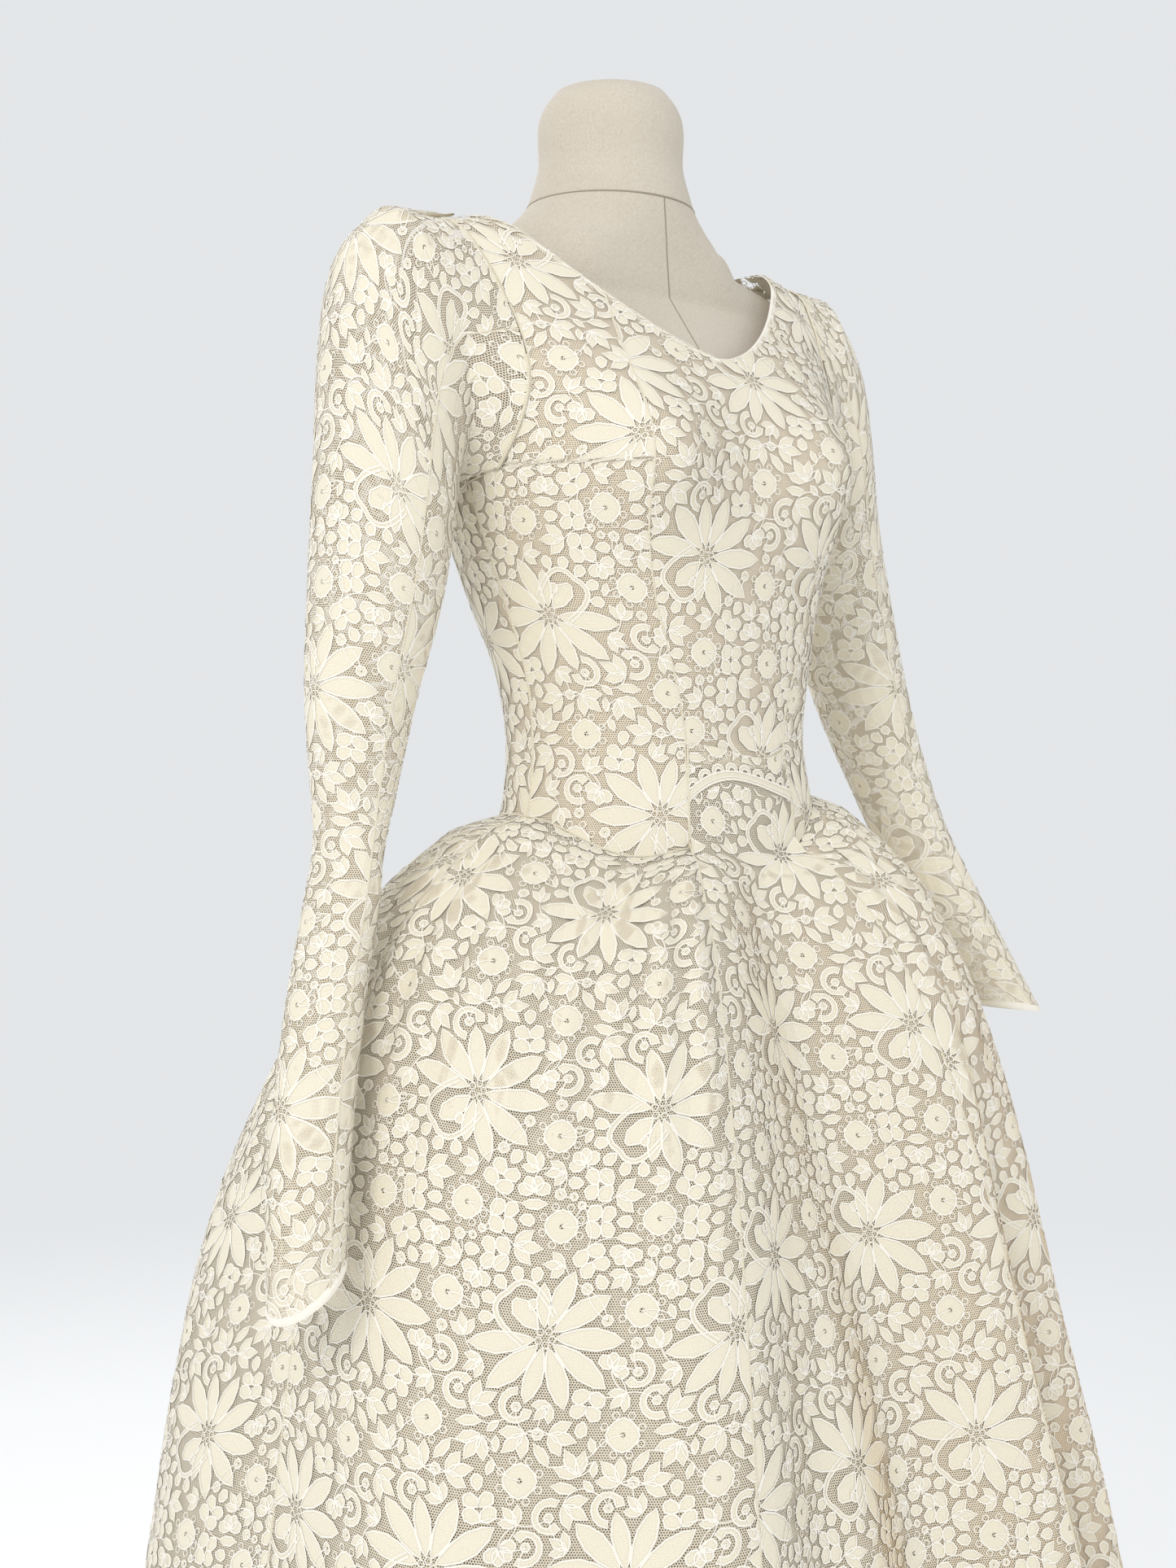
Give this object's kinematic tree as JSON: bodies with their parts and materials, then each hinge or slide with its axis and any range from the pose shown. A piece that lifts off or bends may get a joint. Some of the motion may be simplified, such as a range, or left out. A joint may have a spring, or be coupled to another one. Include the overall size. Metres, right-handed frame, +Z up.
{
  "type": "wedding dress on a dress form",
  "caption": "Long-sleeved lace wedding dress with a fitted princess-seamed bodice and a full gathered skirt, standing on a limbless dress form.",
  "frame": {"origin": "under the middle of the round base, on the floor", "axes": "+Z up, -Y the way the front of the dress faces, -X the wearer's right"},
  "size_m": [0.8648, 0.7954, 1.55],
  "materials": {
    "ivory_lace": "ivory corded lace on a hexagonal net",
    "cream_lining": "cream taffeta lining",
    "white_satin": "white satin",
    "form_linen": "natural linen cover",
    "stand_metal": "satin grey paint"
  },
  "bodies": {
    "root": {"skirt_front": "ivory_lace", "skirt_side_front_left": "ivory_lace", "skirt_side_front_right": "ivory_lace", "skirt_back_left": "ivory_lace", "skirt_back_right": "ivory_lace", "skirt_lining_front": "cream_lining", "skirt_lining_back": "cream_lining", "bodice_front": "ivory_lace", "bodice_side_front_left": "ivory_lace", "bodice_side_front_right": "ivory_lace", "bodice_side_back_left": "ivory_lace", "bodice_side_back_right": "ivory_lace", "bodice_back_left": "ivory_lace", "bodice_back_right": "ivory_lace", "bodice_lining_front": "white_satin", "bodice_lining_side_front_left": "white_satin", "bodice_lining_side_front_right": "white_satin", "bodice_lining_side_back_left": "white_satin", "bodice_lining_side_back_right": "white_satin", "bodice_lining_back_left": "white_satin", "bodice_lining_back_right": "white_satin", "sleeve_upper_left": "ivory_lace", "sleeve_under_left": "ivory_lace", "sleeve_upper_right": "ivory_lace", "sleeve_under_right": "ivory_lace", "placket": "ivory_lace", "button_01": "white_satin", "button_02": "white_satin", "button_03": "white_satin", "button_04": "white_satin", "button_05": "white_satin", "button_06": "white_satin", "button_07": "white_satin", "button_08": "white_satin", "button_09": "white_satin", "button_10": "white_satin", "button_11": "white_satin", "button_12": "white_satin", "form_torso": "form_linen", "form_neck": "form_linen", "stand_post": "stand_metal", "stand_base": "stand_metal"}
  },
  "joints": []
}
